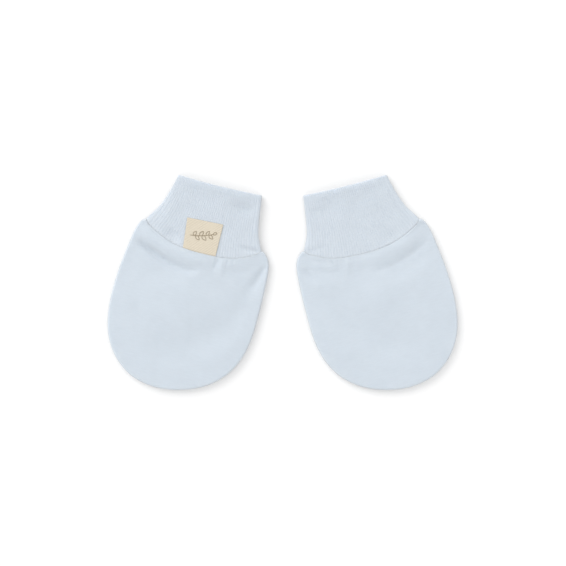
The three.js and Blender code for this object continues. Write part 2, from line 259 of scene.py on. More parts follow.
class MittenCloth(PropertyGroup):
    """Sizes and colours of the body's knit."""

    thickness: FloatProperty(
        name="Cloth Thickness", description="One layer of interlock", default=1.1 * MM, unit="LENGTH"
    )
    around: IntProperty(name="Points Around", description="Mesh points round a panel", default=560, min=60)
    rings: IntProperty(name="Rings", description="Mesh rings between edge and middle", default=52, min=8)
    wale: FloatProperty(
        name="Wale Pitch", description="Width of one column of stitches", default=0.72 * MM, unit="LENGTH"
    )
    course: FloatProperty(
        name="Course Pitch", description="Height of one row of stitches", default=0.58 * MM, unit="LENGTH"
    )
    colour: FloatVectorProperty(
        name="Cloth Colour", description="Pale blue of the yarn", subtype="COLOR", size=3,
        default=(0.650, 0.712, 0.775), min=0, max=1,
    )
    pucker: FloatProperty(
        name="Pucker Height", description="Small gathers where the body meets the cuff",
        default=0.3 * MM, unit="LENGTH",
    )


class MittenCuff(PropertyGroup):
    """Sizes of the doubled rib cuff."""

    wall: FloatProperty(
        name="Doubled Wall", description="Both layers of rib together", default=1.8 * MM, unit="LENGTH"
    )
    ribs: IntProperty(name="Ribs", description="Ribs over one face of the cuff", default=46, min=8)
    rib_points: IntProperty(name="Points in a Rib", description="Mesh points over one rib", default=8, min=4)
    rib_depth: FloatProperty(
        name="Rib Depth", description="Depth of the grooves", default=0.12 * MM, unit="LENGTH"
    )
    rows: IntProperty(name="Rows", description="Mesh rows along the cuff", default=44, min=8)
    colour: FloatVectorProperty(
        name="Rib Colour", description="Pale blue of the rib", subtype="COLOR", size=3,
        default=(0.652, 0.708, 0.768), min=0, max=1,
    )


class MittenLabel(PropertyGroup):
    """Sizes and colours of the woven label."""

    thickness: FloatProperty(
        name="Tape Thickness", description="One layer of the tape", default=0.12 * MM, unit="LENGTH"
    )
    colour: FloatVectorProperty(
        name="Tape Colour", description="Cream of the tape", subtype="COLOR", size=3,
        default=(0.787, 0.707, 0.570), min=0, max=1,
    )
    thread_colour: FloatVectorProperty(
        name="Thread Colour", description="Taupe of the sprig", subtype="COLOR", size=3,
        default=(0.37, 0.305, 0.215), min=0, max=1,
    )
    thread: FloatProperty(
        name="Thread Width", description="Width of the sprig's lines", default=0.34 * MM, unit="LENGTH"
    )


class MittenStage(PropertyGroup):
    """Camera and light."""

    lens: FloatProperty(name="Lens", description="Focal length in millimetres", default=100)
    frame_width: FloatProperty(
        name="Frame Width", description="What the camera sees of the floor", default=294.3 * MM, unit="LENGTH"
    )
    frame_middle: FloatVectorProperty(
        name="Frame Middle", description="Where the camera points, from the pair's middle",
        default=(0.21 * MM, 0.17 * MM), size=2, subtype="TRANSLATION", unit="LENGTH",
    )
    sky: FloatProperty(name="Sky", description="Even light from all round", default=0.95)
    key: FloatProperty(name="Key Light", description="Power of the large light", default=1.2)
    floor_colour: FloatVectorProperty(
        name="Floor Colour", description="White paper", subtype="COLOR", size=3,
        default=(0.945, 0.945, 0.945), min=0, max=1,
    )


# Tables and curves


def smooth_table(rows, at, column):
    """Value of one column at places in the first one, on a smooth curve through the rows."""
    table = np.array(rows, float)
    keys, values = table[:, 0], table[:, column]
    slopes = np.empty(len(keys))
    slopes[1:-1] = (values[2:] - values[:-2]) / (keys[2:] - keys[:-2])
    slopes[0] = (values[1] - values[0]) / (keys[1] - keys[0])
    slopes[-1] = (values[-1] - values[-2]) / (keys[-1] - keys[-2])
    i = np.clip(np.searchsorted(keys, at, side="right") - 1, 0, len(keys) - 2)
    span = keys[i + 1] - keys[i]
    t = np.clip((at - keys[i]) / span, 0, 1)
    return (
        values[i] * (2 * t**3 - 3 * t**2 + 1)
        + slopes[i] * span * (t**3 - 2 * t**2 + t)
        + values[i + 1] * (3 * t**2 - 2 * t**3)
        + slopes[i + 1] * span * (t**3 - t**2)
    )


def smooth_path(points, count):
    """Rows of points at even steps of parameter on a smooth curve through the given rows."""
    points = np.array(points, float)
    chords = np.sqrt(np.linalg.norm(np.diff(points[:, :2], axis=0), axis=1))
    keys = np.concatenate([[0], np.cumsum(chords)])
    at = np.linspace(0, keys[-1], count)
    rows = np.column_stack([keys, points])
    return np.column_stack([smooth_table(rows, at, k) for k in range(1, rows.shape[1])])


def at_lengths(path, shares):
    """Points of a path at the given shares of its length."""
    steps = np.linalg.norm(np.diff(path, axis=0), axis=1)
    lengths = np.concatenate([[0], np.cumsum(steps)])
    at = np.asarray(shares) * lengths[-1]
    return np.column_stack([np.interp(at, lengths, path[:, k]) for k in range(path.shape[1])])


def lerp(a, b, t):
    return a + (b - a) * t


def fold_height(folds, across, down):
    """Height in metres that a table of soft folds adds at places given in metres.

    Each fold is a row of overlapping soft bumps along a smooth path, so it has no creases and soft ends.
    """
    x, y = across / MM, down / MM
    total = np.zeros_like(x)
    for stations in folds.values():
        path = smooth_path(stations, 48)
        steps = np.linalg.norm(np.diff(path[:, :2], axis=0), axis=1)
        middles = (path[:-1] + path[1:]) / 2
        for (px, py, height, width), step in zip(middles, steps):
            apart = ((x - px) ** 2 + (y - py) ** 2) / width**2
            total += height * step / (math.sqrt(math.pi) * width) * np.exp(-apart)
    return total * MM


def seam_down(share):
    """The seam's place, by its share across from -1 to 1."""
    left = SEAM_LEFT[0] * np.abs(share) ** SEAM_LEFT[1]
    right = SEAM_RIGHT[0] * np.abs(share) ** SEAM_RIGHT[1]
    return SEAM_LOWEST - np.where(share < 0, left, right)


def neck_down(across):
    """The body's neck edge: the seam's bow, turned up at both ends to meet the outline."""
    down = seam_down((across - SEAM_MIDDLE) / SEAM_HALF)
    for end in (BODY_OUTLINE[0], BODY_OUTLINE[-1]):
        near = np.clip(1 - np.abs(across - end[0] * MM) / NECK_TURN, 0, 1) ** 1.5
        down = lerp(down, end[1] * MM, near)
    return down


def seam_pinch(across):
    """How deep the seam's valley is. It is shallower from the label to the right end."""
    along = np.clip((across - SHALLOW_SEAM["from"]) / SHALLOW_SEAM["over"], 0, 1)
    return lerp(1, SHALLOW_SEAM["depth"], along)


def ripple(at, pitch, seed):
    """Uneven waves about one pitch long, from -1 to 1."""
    rng = np.random.default_rng(seed)
    total = 0
    for stretch in (0.72, 1.0, 1.37):
        total = total + np.sin(2 * math.pi * at / (pitch * stretch) + rng.uniform(0, 2 * math.pi))
    return total / 3


# Meshes


def sheet_mesh(name, columns, rows, place):
    """A grid mesh whose points are moved to place(s, t), each from 0 to 1. Place gives xyz and uv arrays."""
    bm = bmesh.new()
    bmesh.ops.create_grid(bm, x_segments=columns, y_segments=rows, size=1)
    mesh = bpy.data.meshes.new(name)
    bm.to_mesh(mesh)
    bm.free()
    flat = np.empty(len(mesh.vertices) * 3, np.float32)
    mesh.vertices.foreach_get("co", flat)
    grid = (flat.reshape(-1, 3)[:, :2].astype(float) + 1) / 2
    xyz, uv = place(grid[:, 0], grid[:, 1])
    mesh.vertices.foreach_set("co", xyz.astype(np.float32).ravel())
    corners = np.empty(len(mesh.loops), np.int32)
    mesh.loops.foreach_get("vertex_index", corners)
    layer = mesh.uv_layers.new(name="cloth")
    layer.uv.foreach_set("vector", uv[corners].astype(np.float32).ravel())
    return mesh


def close_mesh(mesh):
    """Merges points that meet and turns the faces outwards."""
    bm = bmesh.new()
    bm.from_mesh(mesh)
    bmesh.ops.remove_doubles(bm, verts=bm.verts, dist=1e-6)
    bmesh.ops.dissolve_degenerate(bm, edges=bm.edges, dist=1e-7)
    bmesh.ops.recalc_face_normals(bm, faces=bm.faces)
    bm.to_mesh(mesh)
    bm.free()


def lay_out(across, down, z, mirrored):
    """Places in a mitten's frame as points of the pair's."""
    x = WRIST_MIDDLE[0] + across * math.cos(LEAN) - down * math.sin(LEAN)
    y = WRIST_MIDDLE[1] - across * math.sin(LEAN) - down * math.cos(LEAN)
    return np.column_stack([-x if mirrored else x, y, z])


def add_piece(name, mesh, material, node):
    """Puts a finished mesh in the scene as a piece that stands for one CAD node."""
    mesh.polygons.foreach_set("use_smooth", np.ones(len(mesh.polygons), bool))
    mesh.materials.append(material)
    piece = bpy.data.objects.new(name, mesh)
    bpy.context.scene.collection.objects.link(piece)
    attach(piece, "root")
    if node:
        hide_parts(node)
    return piece


def sheet_size(mesh, share=1.0):
    """The cloth's own width, length and area, from the unrolled pattern of a mesh."""
    uv = np.empty(len(mesh.loops) * 2, np.float32)
    mesh.uv_layers["cloth"].uv.foreach_get("vector", uv)
    uv = uv.reshape(-1, 2)
    size = uv.max(0) - uv.min(0)
    area = sum(polygon.area for polygon in mesh.polygons) * share
    return (float(size[0]), float(size[1])), area


# Body panels


def panel_outline(count):
    """Points round a panel, with their inward direction, reach, slant and share of the neck."""
    path = smooth_path(BODY_OUTLINE, OUTLINE_STEPS) * MM
    length = np.linalg.norm(np.diff(path, axis=0), axis=1).sum()
    side_steps = int(count * SIDE_POINTS)
    neck_steps = count - side_steps
    step = np.linspace(0, 1, side_steps + 1)
    run = step - END_BUNCHING * np.sin(2 * math.pi * step) / (2 * math.pi)
    side = at_lengths(path, run)
    side_neck = 0.5 * np.clip(1 - np.minimum(run, 1 - run) * length / CORNER_BLEND, 0, None)
    start, end = path[0], path[-1]
    along = np.arange(1, neck_steps) / neck_steps
    neck_across = lerp(end[0], start[0], along)
    neck = np.column_stack([neck_across, neck_down(neck_across) + SEAM_SLIT / 2])
    neck_width = end[0] - start[0]
    neck_neck = np.clip(0.5 + 0.5 * np.minimum(along, 1 - along) * neck_width / CORNER_BLEND, 0, 1)
    place = np.vstack([side, neck])
    shares = np.concatenate([side_neck, neck_neck])
    tangent = np.roll(place, -1, axis=0) - np.roll(place, 1, axis=0)
    tangent /= np.linalg.norm(tangent, axis=1)[:, None]
    inward = np.array(BODY_CENTRE) - place
    reach = np.linalg.norm(inward, axis=1)
    inward /= reach[:, None]
    slant = np.maximum(MOST_SLANT, np.abs(tangent[:, 0] * inward[:, 1] - tangent[:, 1] * inward[:, 0]))
    closed = {"place": place, "inward": inward, "reach": reach, "slant": slant, "neck": shares}
    return {key: np.concatenate([value, value[:1]]) for key, value in closed.items()}


def panel_profile(rings, cloth):
    """Rings of a panel's wall: over its edge, to the middle, and back to the edge on the inside.

    Columns are the side's inset and fall, the neck's inset and fall, the share of the way to the middle
    and the layer, 0 outside and 1 inside. Falls go from the top of the layer at 0 down to the seam at 1.
    """
    roll = NECK_ROLL / NECK_DEPTH
    rows = [(cloth, 1, cloth, 1, 0, 0), (SIDE_DITCH, 1, 0.1 * MM, 1, 0, 0), (0.12 * MM, 0.93, 0, roll, 0, 0)]
    for step in np.concatenate([[0.02], np.linspace(0.1, 1, 13)]):
        turn = math.radians(lerp(12, 90, step))
        rows.append((
            EDGE_RADIUS * (1 - math.cos(turn)), 1 - math.sin(turn),
            NECK_RADIUS * step, (1 - step) ** 2 * roll, 0, 0,
        ))
    shares = (np.arange(1, rings + 1) / rings) ** 1.4
    rows += [(EDGE_RADIUS, 0, NECK_RADIUS, 0, share, 0) for share in shares]
    rows += [(EDGE_RADIUS, 0, NECK_RADIUS + cloth, 0, share, 1) for share in shares[::-3]]
    for turn in np.radians(np.linspace(90, 20, 5)):
        inset = EDGE_RADIUS - (EDGE_RADIUS - cloth) * math.cos(turn)
        rows.append((inset, 1 - math.sin(turn), cloth, (1 - math.sin(turn)) * 0.5, 0, 1))
    return np.array(rows)


def body_relief(across, down, cloth, mirrored):
    """Belly, folds and puckers of a front panel above its flat edge."""
    sideways = (across / MM - BELLY["across"]) / BELLY["half_width"]
    lengthways = (down / MM - BELLY["down"]) / BELLY["half_length"]
    dome = np.clip(1 - sideways**2 - lengthways**2, 0, None) ** 1.5 * BELLY["height"] * MM
    seam = seam_down(np.clip((across - SEAM_MIDDLE) / SEAM_HALF, -1, 1))
    from_seam = np.clip(down - seam, 0, None)
    gathered = 0.3 + 0.7 * np.exp(-(((across - PUCKER["middle"]) / PUCKER["spread"]) ** 2))
    fade = np.exp(-((from_seam / PUCKER["fade"]) ** 2)) * np.clip(from_seam / (0.8 * MM), 0.25, 1)
    pucker = cloth.pucker * gathered * ripple(across, PUCKER["pitch"], PUCKER["seed"]) * fade
    relief = dome + fold_height(RIGHT_BODY_FOLDS if mirrored else BODY_FOLDS, across, down) + pucker
    level = cuff_top(across, seam, mirrored) - 2 * SEAM_PLANE
    if not mirrored:
        inside = LABEL_BULGE["reach"] - np.abs(across - LABEL_MIDDLE)
        level = level + LABEL_BULGE["height"] * np.clip(inside / LABEL_BULGE["blend"], 0, 1)
    return lerp(relief, level, np.exp(-((from_seam / LEVEL_BLEND) ** 2)))


def panel_mesh(name, cloth, is_front, mirrored, rings):
    """A closed panel: its outer face, its rounded edge, and the inner face that lies on the other panel."""
    outline = panel_outline(cloth.around)
    profile = panel_profile(rings, cloth.thickness)
    profile = np.vstack([profile, profile[:1]])
    count = len(outline["reach"]) - 1
    seam = SEAM_PLANE + (PANEL_GAP if is_front else -PANEL_GAP)

    def place(s, t):
        i = np.rint(s * count).astype(int)
        k = np.rint(t * (len(profile) - 1)).astype(int)
        side_in, side_fall, neck_in, neck_fall, share, layer = profile[k].T
        point, inward = outline["place"][i], outline["inward"][i]
        reach, slant, neck = outline["reach"][i], outline["slant"][i], outline["neck"][i]
        inset = lerp(side_in, neck_in, neck)
        edge = inset / slant
        run = edge + (reach - edge) * share
        across = point[:, 0] + inward[:, 0] * run
        down = point[:, 1] + inward[:, 1] * run
        if is_front:
            lift = lerp(np.clip(1.6 - 1.6 * side_fall, 0, 1), 1, neck)
            neck_fall = np.where(neck_fall < 0.5, neck_fall * seam_pinch(across), neck_fall)
            relief = body_relief(across, down, cloth, mirrored)
            top = 2 * SEAM_PLANE + relief * lift - layer * cloth.thickness
            hem = np.maximum(top - NECK_DEPTH * (1 - 0.4 * layer), seam)
        else:
            top = layer * cloth.thickness
            hem = np.full_like(top, seam)
        z = lerp(top, lerp(seam, hem, neck), lerp(side_fall, neck_fall, neck))
        # The pattern unrolls beyond the turn, so stitches keep their size round the edge
        turned = np.where(share == 0, lerp(side_fall * SEAM_PLANE, neck_fall * NECK_DEPTH, neck), 0)
        u = across - inward[:, 0] * turned
        v = down - inward[:, 1] * turned
        return lay_out(across, down, z, mirrored), np.column_stack([u, -v])

    mesh = sheet_mesh(name, count, len(profile) - 1, place)
    close_mesh(mesh)
    return mesh


# Cuff


def cuff_span(share):
    """Half width and middle of the cuff at shares of its length."""
    left = smooth_table(CUFF_SECTIONS, share, 1) * MM
    right = smooth_table(CUFF_SECTIONS, share, 2) * MM
    return (right - left) / 2, (right + left) / 2


def cuff_swell(share, side, across, down, mirrored):
    """Height of the cuff's front above a flattened tube's."""
    crown = lerp(CUFF_CROWN[0], CUFF_CROWN[1], share) * (1 - side**2)
    return crown + fold_height(RIGHT_CUFF_FOLDS if mirrored else CUFF_FOLDS, across, down)


def cuff_top(across, down, mirrored):
    """Height of the cuff's front at places, found by stepping their share of the length closer."""
    share = down / SEAM_LOWEST
    for _ in range(6):
        half, middle = cuff_span(share)
        side = (across - middle) / half
        share = np.clip(down / seam_down(side), 0, 1)
    return 2 * CUFF_SIDE_RADIUS + cuff_swell(share, side, across, down, mirrored)


def cuff_point(share, around, depth, from_wrist, mirrored):
    """Places on the cuff. Around runs over the front from 0 to 0.5 and back under it to 1."""
    is_front = around <= 0.5
    over = np.where(is_front, 2 * around, 2 - 2 * around)
    half, middle = cuff_span(share)
    radius = CUFF_SIDE_RADIUS
    flat = half - radius
    quarter = math.pi / 2 * radius
    run = over * 2 * (quarter + flat)
    along = np.clip(run - quarter, 0, 2 * flat) - flat
    turn = math.pi - np.minimum(run, quarter) / radius - np.clip(run - quarter - 2 * flat, 0, None) / radius
    reach = radius - depth
    x = along + reach * np.sign(np.cos(turn)) * np.abs(np.cos(turn)) ** PRESSED
    lift = np.abs(np.sin(turn)) ** PRESSED
    side = x / half
    top = from_wrist - WRIST_RISE * side**2
    bottom = neck_down(SEAM_MIDDLE + side * SEAM_HALF) - SEAM_SLIT / 2
    down = lerp(top, bottom, share)
    across = middle + x
    swell = np.where(is_front, cuff_swell(share, side, across, down, mirrored) * lift, 0)
    z = radius + swell + np.where(is_front, 1, -1) * reach * lift
    return across, down, z


def cuff_profile(rows):
    """Rings of the doubled wall: out along the cuff, round the wrist fold, back inside, round the end.

    Columns are the share of the length, the turn round the wrist fold and the turn round the end.
    """
    shares = np.concatenate([[1, 0.9995], np.linspace(0.995, 0.965, 6), np.linspace(0.965, 0, rows)[1:]])
    stations = [(share, 0.0, 0.0) for share in shares]
    stations += [(0.0, turn, 0.0) for turn in np.radians(np.linspace(15, 180, 12))]
    stations += [(share, math.pi, 0.0) for share in np.linspace(0.05, 1, rows // 2)]
    stations += [(1.0, math.pi, turn) for turn in np.radians(np.linspace(150, 30, 5))]
    return np.array(stations)


def cuff_mesh(name, cuff, mirrored):
    """The doubled tube with its ribs, closed at the end that lies in the seam."""
    profile = cuff_profile(cuff.rows)
    profile = np.vstack([profile, profile[:1]])
    columns = 2 * cuff.ribs * cuff.rib_points
    fold = cuff.wall / 2

    def place(s, t):
        k = np.rint(t * (len(profile) - 1)).astype(int)
        share, fold_turn, end_turn = profile[k].T
        phase = s * 2 * cuff.ribs
        wander = 0.18 * np.sin(2 * math.pi * (3 * s + 0.7 * share)) * share
        groove = cuff.rib_depth * np.abs(np.sin(math.pi * (phase + wander))) ** 4
        thick = fold - groove
        depth = fold - thick * np.cos(fold_turn)
        from_wrist = fold - thick * np.sin(fold_turn)
        at_end = np.clip((share - 0.97) / 0.03, 0, 1) * (fold_turn == 0)
        side = 2 * np.clip(2 * s, 0, 1) - 1
        end_drop = END_ROUND * seam_pinch(SEAM_MIDDLE + side * SEAM_HALF) * (1 - side**6)
        depth = depth + np.where(end_turn > 0, 0, end_drop * at_end**2)
        depth = np.where(end_turn > 0, lerp(end_drop + groove, cuff.wall - groove, end_turn / math.pi), depth)
        across, down, z = cuff_point(share, s, depth, from_wrist, mirrored)
        length = SEAM_LOWEST * share
        v = np.where(fold_turn > 0, -fold * fold_turn - np.where(fold_turn == math.pi, length, 0), length)
        uv = np.column_stack([phase * RIB_PITCH, -v])
        return lay_out(across, down, z, mirrored), uv

    mesh = sheet_mesh(name, columns, len(profile) - 1, place)
    close_mesh(mesh)
    return mesh


# Label


def label_place(column, row, height):
    """Places on the label, by shares from its left and top edges, at a height above the cuff."""
    half, middle = cuff_span(np.ones_like(column))
    left = lerp(LABEL["left_top"], LABEL["left_bottom"], row) * MM
    across = lerp(left, LABEL["right"] * MM, column)
    top = lerp(LABEL["top_left"], LABEL["top_right"], column) * MM
    down = lerp(top, seam_down((across - middle) / half) - 0.02 * MM, row)
    lifted = LABEL_CURL * column**5 * (1 - row)
    z = cuff_top(across, down, False) + height + lifted
    tucked = np.clip((row - LABEL_TUCK) / (1 - LABEL_TUCK), 0, 1)
    return across, down, z - tucked**2 * END_ROUND * seam_pinch(across)


def label_mesh(name):
    """The tape: up behind, over the fold at its top edge, and down in front."""
    columns, rows = 60, 72

    def place(s, t):
        down_front = np.clip((t - 0.5 - TAPE_FOLD) / (0.5 - TAPE_FOLD), 0, 1)
        up_back = np.clip((0.5 - TAPE_FOLD - t) / (0.5 - TAPE_FOLD), 0, 1)
        turn = np.clip((t - 0.5 + TAPE_FOLD) / (2 * TAPE_FOLD), 0, 1) * math.pi
        row = np.maximum(down_front, up_back) - 0.02 * np.sin(turn)
        height = lerp(LABEL_LOW, LABEL_HEIGHT, (1 - np.cos(turn)) / 2)
        across, down, z = label_place(s, row, height)
        v = (t - 0.5) * TAPE_LENGTH
        return lay_out(across, down, z, False), np.column_stack([s * TAPE_WIDTH, -v])

    mesh = sheet_mesh(name, columns, rows, place)
    close_mesh(mesh)
    return mesh


def sprig_lines():
    """The sprig's stem and leaf outlines, as rows of points on the label in metres."""
    lines = [smooth_path(SPRIG_STEM, 40)]
    for x, y, tip_x, tip_y in SPRIG_LEAVES:
        base, run = np.array([x, y]), np.array([tip_x - x, tip_y - y])
        out = np.array([-run[1], run[0]]) * 0.26
        for side in (1, -1):
            outline = [base, base + 0.3 * run + side * out, base + 0.68 * run + side * 0.8 * out, base + run]
            lines.append(smooth_path(outline, 18))
    return [line * MM for line in lines]


def thread_mesh(name, label):
    """Raised satin stitch along the sprig's lines, on the label's front."""
    bm = bmesh.new()
    for line in sprig_lines():
        def place(s, t, line=line):
            k = t * (len(line) - 1)
            steps = np.arange(len(line))
            x, y = np.interp(k, steps, line[:, 0]), np.interp(k, steps, line[:, 1])
            way = np.gradient(line, axis=0)
            way /= np.linalg.norm(way, axis=1)[:, None]
            round_ends = np.sqrt(np.clip(1 - np.abs(2 * t - 1) ** 16, 0, 1))
            radius = label.thread / 2 * round_ends
            turn = 2 * math.pi * s
            x = x - radius * np.cos(turn) * np.interp(k, steps, way[:, 1])
            y = y + radius * np.cos(turn) * np.interp(k, steps, way[:, 0])
            column = 0.5 + x / TAPE_WIDTH
            row = SPRIG_ROW - y / SPRIG_SCALE
            height = LABEL_HEIGHT + label.thickness / 2 + 0.05 * MM + 0.6 * radius * np.sin(turn)
            across, down, z = label_place(column, row, height)
            return lay_out(across, down, z, False), np.column_stack([s * MM, k * MM])

        stroke = sheet_mesh(name, 8, len(line) - 1, place)
        bm.from_mesh(stroke)
        bpy.data.meshes.remove(stroke)
    mesh = bpy.data.meshes.new(name)
    bm.to_mesh(mesh)
    bm.free()
    close_mesh(mesh)
    return mesh


# Node groups and materials


def new_group(name, inputs, outputs):
    """A shader node group with named sockets: (name, type, default) in, (name, type) out."""
    group = bpy.data.node_groups.new(name, "ShaderNodeTree")
    for socket_name, kind, default in inputs:
        socket = group.interface.new_socket(socket_name, in_out="INPUT", socket_type=kind)
        if default is not None:
            socket.default_value = default
    for socket_name, kind in outputs:
        group.interface.new_socket(socket_name, in_out="OUTPUT", socket_type=kind)
    return group, group.nodes.new("NodeGroupInput"), group.nodes.new("NodeGroupOutput")


def math_node(tree, operation, a, b=None, clamp=False):
    """A Math node fed by sockets or numbers. Returns its output."""
    node = tree.nodes.new("ShaderNodeMath")
    node.operation = operation
    node.use_clamp = clamp
    for socket, value in zip(node.inputs, (a, b)):
        if isinstance(value, bpy.types.NodeSocket):
            tree.links.new(value, socket)
        elif value is not None:
            socket.default_value = value
    return node.outputs[0]


def noise_node(tree, vector, scale, detail=3.0):
    """Noise from 0 to 1 at a scale in bumps to the metre."""
    node = tree.nodes.new("ShaderNodeTexNoise")
    node.inputs["Scale"].default_value = scale
    node.inputs["Detail"].default_value = detail
    tree.links.new(vector, node.inputs["Vector"])
    return node.outputs["Fac"]


def mix_colour(tree, factor, a, b):
    node = tree.nodes.new("ShaderNodeMix")
    node.data_type = "RGBA"
    for socket, value in ((node.inputs["Factor"], factor), (node.inputs["A"], a), (node.inputs["B"], b)):
        if isinstance(value, bpy.types.NodeSocket):
            tree.links.new(value, socket)
        else:
            socket.default_value = value
    return node.outputs["Result"]


def stitch_group():
    """Columns of V-shaped knit stitches on the cloth's own pattern."""
    group, source, sink = new_group(
        "Knit stitches",
        [("Vector", "NodeSocketVector", None), ("Wale", "NodeSocketFloat", 0.0007),
         ("Course", "NodeSocketFloat", 0.0006)],
        [("Height", "NodeSocketFloat"), ("Gap", "NodeSocketFloat")],
    )
    split = group.nodes.new("ShaderNodeSeparateXYZ")
    group.links.new(source.outputs["Vector"], split.inputs[0])
    column = math_node(group, "DIVIDE", split.outputs["X"], source.outputs["Wale"])
    row = math_node(group, "DIVIDE", split.outputs["Y"], source.outputs["Course"])
    across = math_node(group, "SUBTRACT", math_node(group, "FRACT", column), 0.5)
    from_middle = math_node(group, "ABSOLUTE", across)
    leg = math_node(group, "SUBTRACT", math_node(group, "MULTIPLY", from_middle, 4.0), 1.0)
    round_leg = math_node(group, "SUBTRACT", 1.0, math_node(group, "MULTIPLY", leg, leg), clamp=True)
    slanted = math_node(group, "SUBTRACT", row, math_node(group, "MULTIPLY", from_middle, 1.5))
    wave = math_node(group, "COSINE", math_node(group, "MULTIPLY", slanted, 2 * math.pi))
    yarn = math_node(group, "ADD", math_node(group, "MULTIPLY", wave, 0.3), 0.7)
    height = math_node(group, "MULTIPLY", math_node(group, "POWER", round_leg, 0.6), yarn)
    group.links.new(height, sink.inputs["Height"])
    # The gaps between stitches, where shade is painted
    gap = math_node(group, "SUBTRACT", 1.0, math_node(group, "MULTIPLY", height, 1.6), clamp=True)
    group.links.new(gap, sink.inputs["Gap"])
    return group


def fuzz_group():
    """Soft, uneven surface of brushed cotton: a height, and a shade that streaks along the rows."""
    group, source, sink = new_group(
        "Cotton fuzz",
        [("Vector", "NodeSocketVector", None), ("Pattern", "NodeSocketVector", None)],
        [("Height", "NodeSocketFloat"), ("Shade", "NodeSocketFloat")],
    )
    fine = noise_node(group, source.outputs["Vector"], 5200, 2.0)
    coarse = noise_node(group, source.outputs["Vector"], 900, 3.0)
    fine_part = math_node(group, "MULTIPLY", fine, 0.6)
    coarse_part = math_node(group, "MULTIPLY", coarse, 0.4)
    group.links.new(math_node(group, "ADD", fine_part, coarse_part), sink.inputs["Height"])
    slow = noise_node(group, source.outputs["Vector"], 140, 4.0)
    squeeze = group.nodes.new("ShaderNodeVectorMath")
    squeeze.operation = "MULTIPLY"
    squeeze.inputs[1].default_value = (1, 4.5, 1)
    group.links.new(source.outputs["Pattern"], squeeze.inputs[0])
    streaks = noise_node(group, squeeze.outputs[0], 260, 3.0)
    both = math_node(group, "ADD", slow, streaks)
    group.links.new(math_node(group, "MULTIPLY", both, 0.5), sink.inputs["Shade"])
    return group


def twill_group():
    """Diagonal twill of a woven tape."""
    group, source, sink = new_group(
        "Twill weave",
        [("Vector", "NodeSocketVector", None), ("Pitch", "NodeSocketFloat", 0.0006)],
        [("Height", "NodeSocketFloat"), ("Gap", "NodeSocketFloat")],
    )
    split = group.nodes.new("ShaderNodeSeparateXYZ")
    group.links.new(source.outputs["Vector"], split.inputs[0])
    diagonal = math_node(group, "SUBTRACT", split.outputs["X"], split.outputs["Y"])
    lines = math_node(group, "DIVIDE", diagonal, source.outputs["Pitch"])
    turns = math_node(group, "MULTIPLY", lines, 2 * math.pi)
    twill = math_node(group, "ADD", math_node(group, "MULTIPLY", math_node(group, "SINE", turns), 0.5), 0.5)
    picks = math_node(group, "MULTIPLY", split.outputs["Y"], 2 * math.pi / 0.00025)
    thread_wave = math_node(group, "MULTIPLY", math_node(group, "SINE", picks), 0.15)
    threads = math_node(group, "ADD", thread_wave, 0.85)
    patches = noise_node(group, source.outputs["Vector"], 170, 2.0)
    clear = math_node(group, "SUBTRACT", math_node(group, "MULTIPLY", patches, 3.4), 1.15, clamp=True)
    uneven = math_node(group, "MULTIPLY", math_node(group, "SUBTRACT", twill, 0.5), clear)
    height = math_node(group, "MULTIPLY", math_node(group, "ADD", uneven, 0.5), threads)
    group.links.new(height, sink.inputs["Height"])
    # The gaps between twill lines, where shade is painted
    group.links.new(math_node(group, "SUBTRACT", 1.0, height, clamp=True), sink.inputs["Gap"])
    return group


def painted_rim_shade_group():
    """Mask for painted shade on the cloth's edges: 0 where it lies flat, 1 where it stands upright beside a
    seam.
    """
    group, source, sink = new_group(
        "Painted rim shade",
        [("Normal", "NodeSocketVector", None), ("Flat", "NodeSocketFloat", 0.85),
         ("Steep", "NodeSocketFloat", 0.15)],
        [("Shade", "NodeSocketFloat")],
    )
    split = group.nodes.new("ShaderNodeSeparateXYZ")
    group.links.new(source.outputs["Normal"], split.inputs[0])
    below = math_node(group, "SUBTRACT", source.outputs["Flat"], split.outputs["Z"])
    span = math_node(group, "SUBTRACT", source.outputs["Flat"], source.outputs["Steep"])
    group.links.new(math_node(group, "DIVIDE", below, span, clamp=True), sink.inputs["Shade"])
    return group


def shared_group(name, build):
    return bpy.data.node_groups.get(name) or build()


